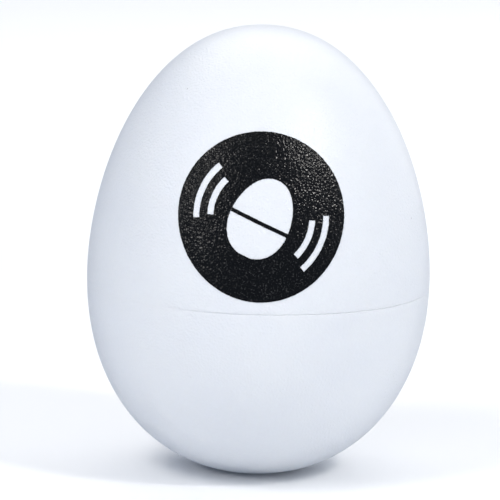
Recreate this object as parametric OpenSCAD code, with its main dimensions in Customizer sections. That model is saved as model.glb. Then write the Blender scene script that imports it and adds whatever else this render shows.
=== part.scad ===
// Egg shaker: two glued plastic shells round a fill of loose steel shot.
// The egg stands on its foot at the origin, +Z is up, and its front, with the print, faces -Y.

/* [Egg] */
// Widest outside diameter
egg_d = 46; // [44:0.5:48]
// Height from the foot to the top
egg_h = 60; // [58:0.5:63]
// Height of the widest place over the foot
belly_z = 26.5; // [26:0.5:28]
// Radius of the flat foot
foot_r = 4.5; // [3.5:0.5:5.5]
// Thickness of both shells
wall = 2; // [1.8:0.1:2.2]
// Fullness of the bowl under the widest place: 2 is an ellipse, more is fuller
bowl_power = 2.16; // [2.1:0.02:2.24]
// How soon the dome starts to close over the widest place: less is sooner
dome_start = 1.83; // [1.76:0.01:1.9]
// How round the dome is near its top: more is blunter
dome_top = 2.16; // [2.1:0.02:2.24]

/* [Seam] */
// Height of the joint line between the shells
seam_z = 25.2; // [23:0.1:25.5]
// Height of the lower shell's lip inside the joint
lip_h = 3; // [2:0.5:4]
// Gap round the lip, on the radius
lip_gap = 0.05; // [0.03:0.01:0.1]
// Thickness of the ring of glue on top of the lip
glue_t = 0.3; // [0.2:0.1:0.5]
// Depth of the fine groove at the joint line
groove_depth = 0.15; // [0.1:0.05:0.3]

/* [Gate mark] */
// Radius of the moulding gate's mark in the middle of the foot
gate_r = 1.2; // [0.8:0.1:1.5]
// Depth of the gate's mark
gate_depth = 0.3; // [0.2:0.1:0.5]

/* [Print] */
// Radius of the round print
print_r = 10.8; // [9:0.1:11]
// Height of the print's middle
print_z = 37.6; // [37:0.1:40]
// Thickness of the ink
ink_t = 0.06; // [0.04:0.01:0.1]
// Height of the small egg left white in the print
icon_h = 10.4; // [9:0.1:11]
// Lean of the small egg
icon_lean = 24; // [10:1:30]
// Width of the seam line inked across the small egg
icon_seam_w = 0.5; // [0.4:0.1:0.8]
// Radius of the inner pair of motion marks
mark_r = 6.6; // [6.4:0.1:6.8]
// Distance from the inner marks to the outer marks
mark_step = 1.8; // [1.5:0.1:1.8]
// Width of a motion mark
mark_w = 0.8; // [0.6:0.1:0.9]

/* [Shot] */
// Diameter of a steel ball
shot_d = 4.5; // [4.4:0.05:4.5]
// Gap between balls, and between a ball and the wall
shot_gap = 0.12; // [0.1:0.01:0.14]
// Radius of the heap of balls, to the middle of its last ball
heap_r = 12.3; // [12.3:0.1:13]
// Radius of the part of the heap that is two balls deep
deep_r = 5; // [4.8:0.1:6]
// Height of the point that the heap rolls about as it rocks in the bowl
roll_z = 21.9; // [21.5:0.1:22.3]

/* [Hidden] */
$fn = 96;
egg_r = egg_d / 2;
dome_h = egg_h - belly_z;
// Depth of the bowl to its own bottom, which the foot cuts off where the radius is foot_r
bowl_h = belly_z / pow(1 - pow(foot_r / egg_r, bowl_power), 1 / bowl_power);
// Step between the profile's points. The profile's angle is -90 at the bottom, 0 at the
// widest place and 90 at the top.
profile_step = 2.5;
icon_step = 7.5;
// Half the span over which the profile's direction is taken
nudge = 0.1;
seam_angle = -asin((belly_z - seam_z) / bowl_h);
socket_r = egg_r - wall / 2;
lip_r = socket_r - lip_gap;
print_margin = 1;
inner_mark_span = 44;
outer_mark_span = 52;
shot_pitch = shot_d + shot_gap;
row_step = shot_pitch * sin(60);
first_row = -3;
last_row = 2;
shell_white = "#f1f3f7";
ink_black = "#19191b";
glue_amber = "#ddd8c4";
steel = "#b9bdc3";

// ---- The egg's profile ----

// Point [radius, height] on the outside
function outside(a) =
    let (t = abs(sin(a)))
    a < 0
        ? [egg_r * pow(max(0, 1 - pow(t, bowl_power)), 1 / bowl_power), belly_z - bowl_h * t]
        : [egg_r * pow(max(0, 1 - pow(t, dome_start)), 1 / dome_top), belly_z + dome_h * t];

// The same point moved into the wall, square to the surface
function inset(a, depth) =
    let (
        b = min(max(a, nudge - 90), 90 - nudge),
        along = outside(b + nudge) - outside(b - nudge),
        point = outside(a) + depth * [-along[1], along[0]] / norm(along)
    )
    [max(0, point[0]), point[1]];

function inset_line(depth, step = profile_step) = [for (a = [-90:step:90]) inset(a, depth)];

function reversed(points) = [for (i = [len(points) - 1:-1:0]) points[i]];

// The section between two depths, cut off flat at the foot
module skin_section(from, to) {
    intersection() {
        polygon(concat(inset_line(from), reversed(inset_line(to))));
        square([egg_d, egg_h + 1]);
    }
}

module band(low, high, radius = egg_d) {
    translate([0, low])
        square([radius, high - low]);
}

module seam_groove() {
    translate([outside(seam_angle)[0], seam_z])
        circle(groove_depth, $fn = 4);
}

// ---- The shells and what bonds them ----

// The cup that the egg stands on, with the lip that goes up inside the joint
module lower_shell() {
    color(shell_white)
        rotate_extrude()
            difference() {
                skin_section(0, wall);
                band(seam_z + lip_h, egg_h + 1);
                translate([lip_r, seam_z])
                    square([wall, egg_h]);
                seam_groove();
                band(-1, gate_depth, gate_r);
            }
}

// The dome, with the socket that drops over the lip
module upper_shell() {
    color(shell_white)
        rotate_extrude()
            difference() {
                skin_section(0, wall);
                band(-1, seam_z);
                band(seam_z - 1, seam_z + lip_h + glue_t, socket_r);
                seam_groove();
            }
}

// The ring of glue between the top of the lip and the bottom of the socket
module seam_glue() {
    color(glue_amber)
        rotate_extrude()
            intersection() {
                skin_section(0, wall);
                band(seam_z + lip_h, seam_z + lip_h + glue_t, lip_r);
            }
}

// ---- The print ----

// A small egg of the same profile, leaning, with its seam line left inked
module egg_icon() {
    side = inset_line(0, icon_step);
    rotate(-icon_lean)
        scale(icon_h / egg_h)
            translate([0, -egg_h / 2])
                difference() {
                    intersection() {
                        polygon(concat(side, [for (p = reversed(side)) [-p[0], p[1]]]));
                        translate([-egg_r, 0])
                            square([egg_d, egg_h]);
                    }
                    translate([-egg_r, seam_z])
                        square([egg_d, icon_seam_w * egg_h / icon_h]);
                }
}

// A pair of arcs on the two sides of the small egg
module motion_marks(radius, span) {
    reach = 2 * print_r;
    for (side = [0, 180])
        rotate(side - icon_lean)
            intersection() {
                difference() {
                    circle(radius + mark_w / 2);
                    circle(radius - mark_w / 2);
                }
                polygon([
                    [0, 0],
                    [reach * cos(span / 2), -reach * sin(span / 2)],
                    [reach * cos(span / 2), reach * sin(span / 2)]
                ]);
            }
}

module print_figure() {
    difference() {
        circle(print_r);
        egg_icon();
        motion_marks(mark_r, inner_mark_span);
        motion_marks(mark_r + mark_step, outer_mark_span);
    }
}

// The ink lies on the dome like a second skin, in the outline of the figure
module front_print() {
    color(ink_black)
        intersection() {
            rotate_extrude()
                intersection() {
                    skin_section(-ink_t, 0);
                    band(print_z - print_r - print_margin, print_z + print_r + print_margin);
                }
            translate([0, 0, print_z])
                rotate([90, 0, 0])
                    linear_extrude(egg_d)
                        print_figure();
        }
}

// ---- The shot ----

// Distance from the rolling point at which a ball clears the bowl's wall everywhere
roll_r = min([
    for (a = [-90:profile_step:0])
        norm(inset(a, wall + shot_d / 2 + shot_gap) - [0, roll_z])
]);

// The middle of a ball that lies in the bowl at this place
function seat(x, y) = [x, y, roll_z - sqrt(pow(roll_r, 2) - pow(x, 2) - pow(y, 2))];

// Rows of balls as they pack on a floor, with the middle ball first
places = [
    for (row = [first_row:last_row], i = [-3:3])
        let (place = [row * row_step, shot_pitch * (i + abs(row % 2) / 2)])
        if (norm(place) > 0 && norm(place) <= heap_r) place
];
floor_shot = [for (p = concat([[0, 0]], places)) seat(p[0], p[1])];
top_shot = [for (p = floor_shot) if (norm([p[0], p[1]]) <= deep_r) p + [0, 0, shot_pitch]];
// One ball at the end of the heap lies a whole ball beyond the last row
end_shot = seat(last_row * row_step + shot_pitch, 0);
shot = concat([end_shot], floor_shot, top_shot);

function shot_name(n) = str("shot_", n < 10 ? "0" : "", n);

module shot_ball(n) {
    color(steel)
        translate(shot[n - 1])
            sphere(d = shot_d);
}

lower_shell();
upper_shell();
seam_glue();
front_print();
for (n = [1:len(shot)])
    shot_ball(n);
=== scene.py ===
"""Egg shaker: smooth moulded shells and a round print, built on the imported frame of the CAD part."""

import math

import bmesh
import bpy
import numpy as np
from mathutils import Euler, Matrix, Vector, noise
from mathutils.geometry import delaunay_2d_cdt


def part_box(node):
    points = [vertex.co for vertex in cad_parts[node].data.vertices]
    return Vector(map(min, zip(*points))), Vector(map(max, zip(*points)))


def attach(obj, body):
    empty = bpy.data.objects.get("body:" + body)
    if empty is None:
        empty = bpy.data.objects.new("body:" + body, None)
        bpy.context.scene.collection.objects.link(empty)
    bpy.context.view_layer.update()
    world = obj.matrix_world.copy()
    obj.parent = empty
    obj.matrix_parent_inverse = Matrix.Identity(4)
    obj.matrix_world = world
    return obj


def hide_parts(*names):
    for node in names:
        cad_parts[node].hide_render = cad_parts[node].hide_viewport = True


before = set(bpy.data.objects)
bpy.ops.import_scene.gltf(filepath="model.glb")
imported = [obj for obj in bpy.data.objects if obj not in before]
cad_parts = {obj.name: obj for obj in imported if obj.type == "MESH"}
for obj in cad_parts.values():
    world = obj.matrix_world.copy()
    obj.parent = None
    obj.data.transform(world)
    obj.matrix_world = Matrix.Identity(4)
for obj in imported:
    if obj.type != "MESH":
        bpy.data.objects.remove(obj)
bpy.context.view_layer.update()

MM = 0.001

# ---- Sizes ----

shell_low, shell_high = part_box("upper_shell")
_, cup_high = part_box("lower_shell")
print_low, print_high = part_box("front_print")
_, glue_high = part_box("seam_glue")

EGG_R = min(shell_high.x, -shell_low.x)
EGG_H = shell_high.z
SEAM_Z = shell_low.z
LIP_TOP = cup_high.z
SOCKET_TOP = glue_high.z
LIP_R = glue_high.x
LIP_GAP = 0.05 * MM
SOCKET_R = LIP_R + LIP_GAP
# The lip's side of the wall, from the socket's face to the inside
LIP_WALL = 1.0 * MM
WALL = EGG_R - SOCKET_R + LIP_WALL
FOOT_R = 4.5 * MM
BELLY_Z = 26.5 * MM
BOWL_POWER = 2.16
DOME_START = 1.83
DOME_TOP = 2.16
BOWL_H = BELLY_Z / (1 - (FOOT_R / EGG_R) ** BOWL_POWER) ** (1 / BOWL_POWER)
DOME_H = EGG_H - BELLY_Z
GATE_R = 1.2 * MM
GATE_DEPTH = 0.3 * MM
FOOT_SOFT = 6.0 * MM
LIP_SOFT = 0.15 * MM

PRINT_R = (print_high.z - print_low.z) / 2
PRINT_Z = (print_high.z + print_low.z) / 2
INK_T = 0.05 * MM
INK_ROOT = 0.01 * MM
# The ink's edge creeps along the grain this far, and the disc is this much smaller to leave room for it
INK_CREEP = 0.045 * MM
INK_CREEP_SCALE = 7000
INK_DISC_SHARE = 0.996
INK_EDGE_STEP = 0.07 * MM
INK_GRID_STEP = 0.3 * MM
ICON_H = 10.4 * MM
ICON_LEAN = 24
ICON_SEAM_W = 0.5 * MM
MARK_R = 6.6 * MM
MARK_STEP = 1.8 * MM
MARK_W = 0.8 * MM
INNER_MARK_SPAN = 44
OUTER_MARK_SPAN = 52

SEAM_EDGE = 0.12 * MM
# The seam is tightest in this direction and over this much to each side, and opens over this much more
TIGHT_AT = math.radians(-165)
TIGHT_HALF = math.radians(38)
TIGHT_FADE = math.radians(26)
# Share of the rounded edge that is left where the seam is tightest
TIGHT_SHARE = 0.15
AROUND = 256
PROFILE_STEPS = 100


# ---- The egg's profile ----

def outside(angle):
    """Point (radius, height) on the outside: -90 is the bottom, 0 the widest place, 90 the top."""
    t = abs(math.sin(math.radians(angle)))
    if angle < 0:
        return np.array([EGG_R * max(0.0, 1 - t ** BOWL_POWER) ** (1 / BOWL_POWER), BELLY_Z - BOWL_H * t])
    return np.array([EGG_R * max(0.0, 1 - t ** DOME_START) ** (1 / DOME_TOP), BELLY_Z + DOME_H * t])


def inset(angle, depth):
    """The same point moved into the wall, square to the surface."""
    nudge = 0.1
    at = min(max(angle, nudge - 90), 90 - nudge)
    along = outside(at + nudge) - outside(at - nudge)
    inward = np.array([-along[1], along[0]]) / np.linalg.norm(along)
    point = outside(angle) + depth * inward
    return np.array([max(0.0, point[0]), point[1]])


def egg_radius(z):
    """Outside radius at a height."""
    if z < BELLY_Z:
        t = (BELLY_Z - z) / BOWL_H
        return EGG_R * max(0.0, 1 - t ** BOWL_POWER) ** (1 / BOWL_POWER)
    t = (z - BELLY_Z) / DOME_H
    return EGG_R * max(0.0, 1 - t ** DOME_START) ** (1 / DOME_TOP)


def angle_at(z, depth):
    """The profile angle at which the line at this depth passes a height."""
    low, high = -90.0, 90.0
    for _ in range(40):
        middle = (low + high) / 2
        if inset(middle, depth)[1] < z:
            low = middle
        else:
            high = middle
    return (low + high) / 2


def run(first, last, depth, steps=PROFILE_STEPS):
    """Points along the profile at one depth, from one angle to another."""
    return [inset(a, depth) for a in np.linspace(first, last, steps)]


def arc(centre, radius, start, end, steps=5):
    """Points on an arc in the section, angles in degrees."""
    angles = np.radians(np.linspace(start, end, steps))
    return [np.array([centre[0] + radius * math.cos(a), centre[1] + radius * math.sin(a)]) for a in angles]


# ---- Mesh helpers ----

def finish_mesh(name, bm, material, body, replaces, sharp=35):
    """Turns a bmesh into a piece that rides on a body and stands for CAD nodes."""
    bmesh.ops.recalc_face_normals(bm, faces=bm.faces)
    mesh = bpy.data.meshes.new(name)
    bm.to_mesh(mesh)
    bm.free()
    mesh.shade_smooth()
    mesh.set_sharp_from_angle(angle=math.radians(sharp))
    obj = bpy.data.objects.new(name, mesh)
    bpy.context.scene.collection.objects.link(obj)
    mesh.materials.append(material)
    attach(obj, body)
    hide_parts(replaces)
    return obj


def lathe(section):
    """Turns a closed section of (radius, height) points about the Z axis.

    A point on the axis makes one vertex, and any other makes a ring.
    """
    on_axis = 1e-7
    bm = bmesh.new()
    turns = np.linspace(0, 2 * math.pi, AROUND, endpoint=False)
    rings = []
    for r, z in section:
        if r < on_axis:
            rings.append([bm.verts.new((0, 0, z))])
        else:
            rings.append([bm.verts.new((r * math.cos(a), r * math.sin(a), z)) for a in turns])
    for lower, upper in zip(rings, rings[1:] + rings[:1]):
        for i in range(AROUND):
            j = (i + 1) % AROUND
            corners = [
                lower[i % len(lower)],
                lower[j % len(lower)],
                upper[j % len(upper)],
                upper[i % len(upper)],
            ]
            face = list(dict.fromkeys(corners))
            if len(face) >= 3:
                bm.faces.new(face)
    return bm


def seam_opening(x, y):
    """Share of the rounded seam edge that shows in a direction: 1 is all of it."""
    apart = abs(math.remainder(math.atan2(y, x) - TIGHT_AT, 2 * math.pi))
    t = min(1, max(0, (apart - TIGHT_HALF) / TIGHT_FADE))
    return TIGHT_SHARE + (1 - TIGHT_SHARE) * t * t * (3 - 2 * t)


def tighten_seam(bm):
    """Closes the rounded seam edge on the egg's left, where the two shells fit most tightly."""
    edge_reach = 1.5 * SEAM_EDGE
    for vert in bm.verts:
        x, y, z = vert.co
        r = math.hypot(x, y)
        full = egg_radius(z)
        if abs(z - SEAM_Z) > SEAM_EDGE or full - r > edge_reach:
            continue
        wider = (full - (full - r) * seam_opening(x, y)) / r
        vert.co.x = x * wider
        vert.co.y = y * wider
    return bm


# ---- Materials ----

def new_material(name, color, roughness):
    material = bpy.data.materials.new(name)
    material.use_nodes = True
    shader = material.node_tree.nodes["Principled BSDF"]
    shader.inputs["Base Color"].default_value = (*color, 1)
    shader.inputs["Roughness"].default_value = roughness
    return material, material.node_tree, shader


def noise_node(tree, scale, detail=2.0, roughness=0.5):
    place = tree.nodes.new("ShaderNodeTexCoord")
    node = tree.nodes.new("ShaderNodeTexNoise")
    node.inputs["Scale"].default_value = scale
    node.inputs["Detail"].default_value = detail
    node.inputs["Roughness"].default_value = roughness
    tree.links.new(place.outputs["Object"], node.inputs["Vector"])
    return node.outputs["Fac"]


def remap(tree, value, from_low, from_high, low, high):
    node = tree.nodes.new("ShaderNodeMapRange")
    node.inputs["From Min"].default_value = from_low
    node.inputs["From Max"].default_value = from_high
    node.inputs["To Min"].default_value = low
    node.inputs["To Max"].default_value = high
    tree.links.new(value, node.inputs["Value"])
    return node.outputs["Result"]


def mixed_color(tree, factor, first, second):
    node = tree.nodes.new("ShaderNodeMix")
    node.data_type = "RGBA"
    tree.links.new(factor, node.inputs[0])
    for socket, color in ((node.inputs[6], first), (node.inputs[7], second)):
        if isinstance(color, tuple):
            socket.default_value = (*color, 1)
        else:
            tree.links.new(color, socket)
    return node.outputs[2]


def bump(tree, height, strength, distance, under=None):
    node = tree.nodes.new("ShaderNodeBump")
    node.inputs["Strength"].default_value = strength
    node.inputs["Distance"].default_value = distance
    tree.links.new(height, node.inputs["Height"])
    if under is not None:
        tree.links.new(under, node.inputs["Normal"])
    return node.outputs["Normal"]


GRAIN_SCALE = 3700
GRAIN_DEPTH = 0.1 * MM


def shell_material():
    """Cool white moulded plastic: a fine spark-eroded grain, slow waves, and a few specks of dust."""
    material, tree, shader = new_material("moulded_white_plastic", (0.74, 0.77, 0.82), 0.46)
    grain = noise_node(tree, GRAIN_SCALE, 0.0)
    wave = noise_node(tree, 90, 1.0)
    patch = remap(tree, wave, 0.3, 0.7, 0, 1)
    tint = mixed_color(tree, patch, (0.735, 0.762, 0.812), (0.752, 0.777, 0.818))
    place = tree.nodes.new("ShaderNodeTexCoord")
    cells = tree.nodes.new("ShaderNodeTexVoronoi")
    cells.inputs["Scale"].default_value = 110
    tree.links.new(place.outputs["Object"], cells.inputs["Vector"])
    speck = remap(tree, cells.outputs["Distance"], 0.006, 0.014, 1, 0)
    shader_color = mixed_color(tree, speck, tint, (0.30, 0.31, 0.34))
    tree.links.new(shader_color, shader.inputs["Base Color"])
    tree.links.new(remap(tree, grain, 0.35, 0.65, 0.34, 0.42), shader.inputs["Roughness"])
    slow = bump(tree, wave, 0.08, 0.4 * MM)
    tree.links.new(bump(tree, grain, 0.65, GRAIN_DEPTH, slow), shader.inputs["Normal"])
    shader.inputs["Subsurface Weight"].default_value = 0.12
    shader.inputs["Subsurface Radius"].default_value = (1.0, 1.1, 1.3)
    shader.inputs["Subsurface Scale"].default_value = 0.6 * MM
    shader.inputs["IOR"].default_value = 1.49
    shader.inputs["Specular IOR Level"].default_value = 0.5
    return material


def ink_material():
    """Black ink that takes the plastic's grain, so that it glints where the light is near. Its grey specks
    are partly thin ink over the white and partly painted glints.
    """
    material, tree, shader = new_material("black_print_ink", (0.003, 0.003, 0.0033), 0.2)
    grain = noise_node(tree, GRAIN_SCALE, 0.0)
    ink_speck_noise = noise_node(tree, GRAIN_SCALE * 1.1, 2.0, 0.8)
    # Grey specks in the ink's colour: partly thin ink showing the white under it, partly painted glints of
    # the grain, as bright under any light
    thin_ink_and_painted_glint = remap(tree, ink_speck_noise, 0.56, 0.78, 0, 1)
    color = mixed_color(tree, thin_ink_and_painted_glint, (0.0006, 0.0006, 0.0007), (0.05, 0.05, 0.051))
    tree.links.new(color, shader.inputs["Base Color"])
    tree.links.new(remap(tree, ink_speck_noise, 0.3, 0.7, 0.14, 0.22), shader.inputs["Roughness"])
    tree.links.new(bump(tree, grain, 1.0, GRAIN_DEPTH), shader.inputs["Normal"])
    shader.inputs["IOR"].default_value = 1.5
    shader.inputs["Specular IOR Level"].default_value = 0.3
    return material


def glue_material():
    """Cured cement: pale amber, a little uneven."""
    material, tree, shader = new_material("cured_cement", (0.72, 0.66, 0.50), 0.3)
    flow = noise_node(tree, 900, 3.0)
    color = mixed_color(tree, remap(tree, flow, 0.35, 0.65, 0, 1), (0.74, 0.68, 0.52), (0.66, 0.60, 0.44))
    tree.links.new(color, shader.inputs["Base Color"])
    tree.links.new(remap(tree, flow, 0.3, 0.7, 0.2, 0.45), shader.inputs["Roughness"])
    tree.links.new(bump(tree, flow, 0.3, 0.05 * MM), shader.inputs["Normal"])
    return material


def steel_material():
    """Tumbled steel: bright, with a fine scuffed surface from rubbing against the other balls."""
    material, tree, shader = new_material("tumbled_steel", (0.58, 0.585, 0.60), 0.28)
    shader.inputs["Metallic"].default_value = 1
    scuff = noise_node(tree, 1800, 4.0, 0.7)
    color = mixed_color(tree, remap(tree, scuff, 0.4, 0.7, 0, 1), (0.60, 0.605, 0.62), (0.44, 0.445, 0.46))
    tree.links.new(color, shader.inputs["Base Color"])
    tree.links.new(remap(tree, scuff, 0.3, 0.7, 0.18, 0.42), shader.inputs["Roughness"])
    tree.links.new(bump(tree, scuff, 0.15, 0.03 * MM), shader.inputs["Normal"])
    return material


def paper_material(name, color, relief):
    """Matte paper with a faint relief, for the floor and the card."""
    material, tree, shader = new_material(name, color, 0.9)
    fibres = noise_node(tree, 400, 2.0)
    tree.links.new(bump(tree, fibres, relief, 0.1 * MM), shader.inputs["Normal"])
    return material


# ---- The shells ----

def lower_shell_section():
    """The cup's section: foot and gate mark, bowl, rounded seam edge, lip, inside."""
    foot_angle = angle_at(0, 0)
    near_foot = outside(foot_angle + 1) - outside(foot_angle)
    slope = math.degrees(math.atan2(near_foot[1], near_foot[0]))
    tangent = FOOT_SOFT * math.tan(math.radians(slope / 2))
    foot_arc = arc((FOOT_R - tangent, FOOT_SOFT), FOOT_SOFT, -90, slope - 90)
    bowl_start = foot_arc[-1][0] + 0.05 * MM
    gate_flat = GATE_R * 0.8
    gate_soft = GATE_DEPTH * 0.4
    edge_angle = angle_at(SEAM_Z - SEAM_EDGE, 0)
    edge_r = outside(edge_angle)[0]
    inner_top = angle_at(LIP_TOP, WALL)
    return [
        np.array([0, GATE_DEPTH]),
        np.array([gate_flat, GATE_DEPTH]),
        *arc((gate_flat, GATE_DEPTH - gate_soft), gate_soft, 80, 10, 4),
        np.array([GATE_R, 0]),
        *foot_arc,
        *[p for p in run(foot_angle, edge_angle, 0) if p[0] > bowl_start],
        *arc((edge_r - SEAM_EDGE, SEAM_Z - SEAM_EDGE), SEAM_EDGE, 15, 90),
        np.array([LIP_R, SEAM_Z]),
        *arc((LIP_R - LIP_SOFT, LIP_TOP - LIP_SOFT), LIP_SOFT, 0, 90, 4),
        *run(inner_top, -90, WALL),
    ]


def upper_shell_section():
    """The dome's section: the rounded seam edge, the outside, the inside, and the socket over the lip."""
    edge_angle = angle_at(SEAM_Z + SEAM_EDGE, 0)
    edge_r = outside(edge_angle)[0]
    inner_low = angle_at(SOCKET_TOP, WALL)
    return [
        np.array([SOCKET_R, SOCKET_TOP]),
        np.array([SOCKET_R, SEAM_Z]),
        *arc((edge_r - SEAM_EDGE, SEAM_Z + SEAM_EDGE), SEAM_EDGE, -90, -15),
        *run(edge_angle, 90, 0, PROFILE_STEPS + 20),
        *run(90, inner_low, WALL),
    ]


# ---- The print ----

# Without a seed of its own the noise starts from the time, and the ink's edge differs in each run
INK_SEED = 1
noise.seed_set(INK_SEED)

def icon_outline():
    """The small egg's outline about its own middle, upright."""
    side = [outside(a) for a in np.linspace(angle_at(0, 0), 90, 60)]
    ring = [(r, z) for r, z in side] + [(-r, z) for r, z in reversed(side[:-1])]
    size = ICON_H / EGG_H
    return [(x * size, (z - EGG_H / 2) * size) for x, z in ring]


def cut_level(ring, level, keep_above):
    """The part of a closed ring over or under a level, with points added where it crosses."""
    out = []
    for (x1, y1), (x2, y2) in zip(ring, ring[1:] + ring[:1]):
        inside_1 = (y1 > level) == keep_above
        inside_2 = (y2 > level) == keep_above
        if inside_1:
            out.append((x1, y1))
        if inside_1 != inside_2:
            t = (level - y1) / (y2 - y1)
            out.append((x1 + t * (x2 - x1), level))
    return out


def turned(ring, degrees):
    a = math.radians(degrees)
    return [(x * math.cos(a) - y * math.sin(a), x * math.sin(a) + y * math.cos(a)) for x, y in ring]


def mark_ring(radius, span, side):
    """The outline of one motion mark."""
    angles = np.radians(np.linspace(-span / 2, span / 2, 30))
    outer = [((radius + MARK_W / 2) * math.cos(a), (radius + MARK_W / 2) * math.sin(a)) for a in angles]
    inner = [((radius - MARK_W / 2) * math.cos(a), (radius - MARK_W / 2) * math.sin(a)) for a in angles]
    return turned(outer + inner[::-1], side - ICON_LEAN)


def even(ring, spacing):
    """The ring with points added so that none are further apart than spacing."""
    out = []
    for (x1, y1), (x2, y2) in zip(ring, ring[1:] + ring[:1]):
        n = max(1, math.ceil(math.hypot(x2 - x1, y2 - y1) / spacing))
        out += [(x1 + (x2 - x1) * k / n, y1 + (y2 - y1) * k / n) for k in range(n)]
    return out


def inked_edge(ring):
    """The ring in short steps, each point moved a little, as ink creeps along the grain."""
    out = []
    for x, y in even(ring, INK_EDGE_STEP):
        shift = noise.noise_vector(Vector((x, y, 0)) * INK_CREEP_SCALE)
        out.append((x + shift.x * INK_CREEP, y + shift.y * INK_CREEP))
    return out


def inside_ring(points, ring):
    """Which points lie in a closed ring."""
    x, y = points[:, 0], points[:, 1]
    result = np.zeros(len(points), bool)
    for (x1, y1), (x2, y2) in zip(ring, ring[1:] + ring[:1]):
        if y1 == y2:
            continue
        crosses = (y1 > y) != (y2 > y)
        result ^= crosses & (x < (x2 - x1) * (y - y1) / (y2 - y1) + x1)
    return result


def print_rings():
    """The outer ring of the ink, and the rings of what is left white."""
    turns = np.linspace(0, 2 * math.pi, 360, endpoint=False)
    disc = [(PRINT_R * math.cos(a), PRINT_R * math.sin(a)) for a in turns]
    inner_disc = [(x * INK_DISC_SHARE, y * INK_DISC_SHARE) for x, y in disc]
    egg = icon_outline()
    seam_level = (SEAM_Z / EGG_H - 0.5) * ICON_H
    holes = [
        turned(cut_level(egg, seam_level, False), -ICON_LEAN),
        turned(cut_level(egg, seam_level + ICON_SEAM_W, True), -ICON_LEAN),
    ]
    for side in (0, 180):
        holes.append(mark_ring(MARK_R, INNER_MARK_SPAN, side))
        holes.append(mark_ring(MARK_R + MARK_STEP, OUTER_MARK_SPAN, side))
    return inked_edge(inner_disc), [inked_edge(hole) for hole in holes]


def on_front(x, z, lift):
    """A point of the print's plane laid on the front of the dome, lifted off it along its normal."""
    step = 0.01 * MM
    r = egg_radius(z)
    y = -math.sqrt(max(0.0, r * r - x * x))
    rise = (egg_radius(z + step) - egg_radius(z - step)) / (2 * step)
    normal = Vector((x / r, y / r, -rise)).normalized()
    return Vector((x, y, z)) + normal * lift


def grid_inside(ring, border):
    """Points of a square grid in the ring that aren't close to its border points."""
    close = INK_GRID_STEP * 0.45
    steps = np.arange(-PRINT_R, PRINT_R + INK_GRID_STEP, INK_GRID_STEP)
    grid = np.array([(x, y) for x in steps for y in steps])
    grid = grid[inside_ring(grid, ring)]
    far = np.array([np.min(np.hypot(*(border - g).T)) > close for g in grid])
    return grid[far]


def print_triangles():
    """The figure's flat points, and its triangles between them, with points all over it."""
    outer, holes = print_rings()
    points, edges = [], []
    for ring in [outer] + holes:
        first = len(points)
        points += [Vector(p) for p in ring]
        edges += [(first + i, first + (i + 1) % len(ring)) for i in range(len(ring))]
    border = np.array([tuple(p) for p in points])
    points += [Vector(g) for g in grid_inside(outer, border)]
    # In millimetres, because the triangulation's tolerance is absolute
    size = 1 / MM
    flat, _, faces, _, _, _ = delaunay_2d_cdt([p * size for p in points], edges, [], 0, 1e-5)
    flat = np.array([tuple(p) for p in flat]) / size
    middles = np.array([flat[list(f)].mean(0) for f in faces])
    keep = inside_ring(middles, outer)
    for hole in holes:
        keep &= ~inside_ring(middles, hole)
    return flat, [face for face, kept in zip(faces, keep) if kept]


def make_print():
    """Lays the figure on the dome as a thin closed skin."""
    flat, faces = print_triangles()
    bm = bmesh.new()
    top = [bm.verts.new(on_front(x, PRINT_Z + y, INK_T)) for x, y in flat]
    under = [bm.verts.new(on_front(x, PRINT_Z + y, -INK_ROOT)) for x, y in flat]
    for face in faces:
        bm.faces.new([top[i] for i in face])
        bm.faces.new([under[i] for i in reversed(face)])
    pair = dict(zip(top, under))
    tops = set(top)
    for edge in [e for e in bm.edges if e.is_boundary and e.verts[0] in tops]:
        a, b = edge.verts
        bm.faces.new([a, b, pair[b], pair[a]])
    bmesh.ops.delete(bm, geom=[v for v in bm.verts if not v.link_faces], context="VERTS")
    return bm


# ---- The egg ----

plastic = shell_material()
cup = tighten_seam(lathe(lower_shell_section()))
dome = tighten_seam(lathe(upper_shell_section()))
finish_mesh("lower_shell_moulding", cup, plastic, "shell", "lower_shell")
finish_mesh("upper_shell_moulding", dome, plastic, "shell", "upper_shell")
finish_mesh("front_print_ink", make_print(), ink_material(), "shell", "front_print", sharp=50)

steel = steel_material()
cement = glue_material()
for name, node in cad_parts.items():
    if name.startswith("shot_"):
        node.data.materials.clear()
        node.data.materials.append(steel)
    if name == "seam_glue":
        node.data.materials.clear()
        node.data.materials.append(cement)

# ---- Studio ----

FLOOR_SIZE = 3.0
bpy.ops.mesh.primitive_plane_add(size=FLOOR_SIZE, location=(0, 0, 0))
floor = bpy.context.object
floor.name = "studio_floor"
floor.data.materials.append(paper_material("pale_studio_floor", (0.94, 0.95, 0.965), 0.03))
floor.visible_glossy = False

# A dark card beside the egg, out of view, keeps the floor's light off its left edge
CARD_AWAY = 0.12
CARD_WIDTH = 0.3
CARD_HEIGHT = 0.09
CARD_TURN = math.radians(158)
card_place = (CARD_AWAY * math.cos(CARD_TURN), CARD_AWAY * math.sin(CARD_TURN), CARD_HEIGHT / 2)
bpy.ops.mesh.primitive_plane_add(size=1, location=card_place, rotation=(0, math.pi / 2, CARD_TURN))
card = bpy.context.object
card.name = "dark_card"
card.scale = (CARD_HEIGHT, CARD_WIDTH, 1)
card.data.materials.append(paper_material("dark_card_paper", (0.05, 0.1, 0.2), 0.1))
card.visible_camera = False
card.visible_shadow = False
card.visible_glossy = False


def soft_light(name, place, aim, size, power, color, shines=True):
    """A square soft box at a place in metres, turned to face another place. A fill has no highlight."""
    light = bpy.data.lights.new(name, "AREA")
    light.shape = "SQUARE"
    light.size = size
    light.energy = power
    light.color = color
    obj = bpy.data.objects.new(name, light)
    bpy.context.scene.collection.objects.link(obj)
    obj.location = place
    obj.rotation_mode = "QUATERNION"
    obj.rotation_quaternion = (Vector(aim) - Vector(place)).to_track_quat("-Z", "Y")
    obj.visible_glossy = shines


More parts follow.
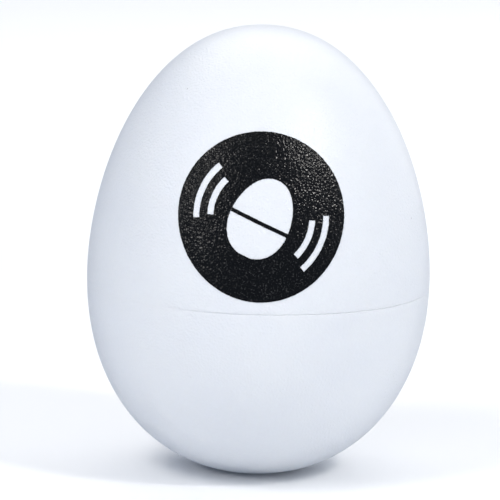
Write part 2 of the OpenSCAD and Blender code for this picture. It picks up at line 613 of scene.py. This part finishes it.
LAMP_WHITE = (1.0, 0.97, 0.92)
LAMP_WARM = (1.0, 0.93, 0.82)
SKY_BLUE = (0.67, 0.79, 1.0, 1)
EGG_MIDDLE = (0, 0, EGG_H / 2)
soft_light("overhead_box", (0, 0.3, 1.5), (0, 0.3, 0), 2.4, 8.2, LAMP_WARM)
soft_light("floor_box", (0, 0.4, 0.4), (0, 0.4, 0), 0.5, 0.9, LAMP_WHITE)
soft_light("key_box", (0.4, -0.33, 0.5), EGG_MIDDLE, 0.1, 1.6, LAMP_WHITE)
soft_light("right_low_box", (0.69, 0, 0.13), EGG_MIDDLE, 0.4, 0.5, LAMP_WHITE)
soft_light("right_back_box", (0.43, 0.43, 0.25), EGG_MIDDLE, 0.5, 0.8, LAMP_WHITE)
soft_light("left_box", (-0.434, -0.391, 0.315), EGG_MIDDLE, 0.14, 0.6, LAMP_WHITE)
soft_light("left_high_box", (-0.306, -0.285, 0.53), EGG_MIDDLE, 0.2, 1.3, LAMP_WHITE, shines=False)
soft_light("front_box", (0, -0.7, 0.35), EGG_MIDDLE, 0.5, 0.8, LAMP_WHITE, shines=False)

SKY_STRENGTH = 0.38
world = bpy.data.worlds.new("studio_air")
bpy.context.scene.world = world
world.use_nodes = True
sky = world.node_tree.nodes["Background"]
sky.inputs["Color"].default_value = SKY_BLUE
sky.inputs["Strength"].default_value = SKY_STRENGTH

# ---- Camera ----

CAMERA_DISTANCE = 0.6
CAMERA_ELEVATION = 10.0
CAMERA_TURN = -0.37
CAMERA_ROLL = 1.46
CAMERA_LENS = 322
CAMERA_SENSOR = 36
EGG_RIGHT_OF_CENTRE = 1.22 * MM
EGG_ABOVE_CENTRE = 0.3 * MM

camera_data = bpy.data.cameras.new("camera")
camera_data.lens = CAMERA_LENS
camera_data.sensor_width = CAMERA_SENSOR
camera_data.clip_start = 0.01
camera = bpy.data.objects.new("camera", camera_data)
bpy.context.scene.collection.objects.link(camera)
aim = Euler((math.radians(90 - CAMERA_ELEVATION), 0, math.radians(CAMERA_TURN))).to_matrix()
aim = aim @ Euler((0, 0, math.radians(CAMERA_ROLL))).to_matrix()
camera.rotation_euler = aim.to_euler()
offset = aim @ Vector((-EGG_RIGHT_OF_CENTRE, -EGG_ABOVE_CENTRE, CAMERA_DISTANCE))
camera.location = Vector(EGG_MIDDLE) + offset
bpy.context.scene.camera = camera
bpy.context.scene.view_settings.view_transform = "Standard"
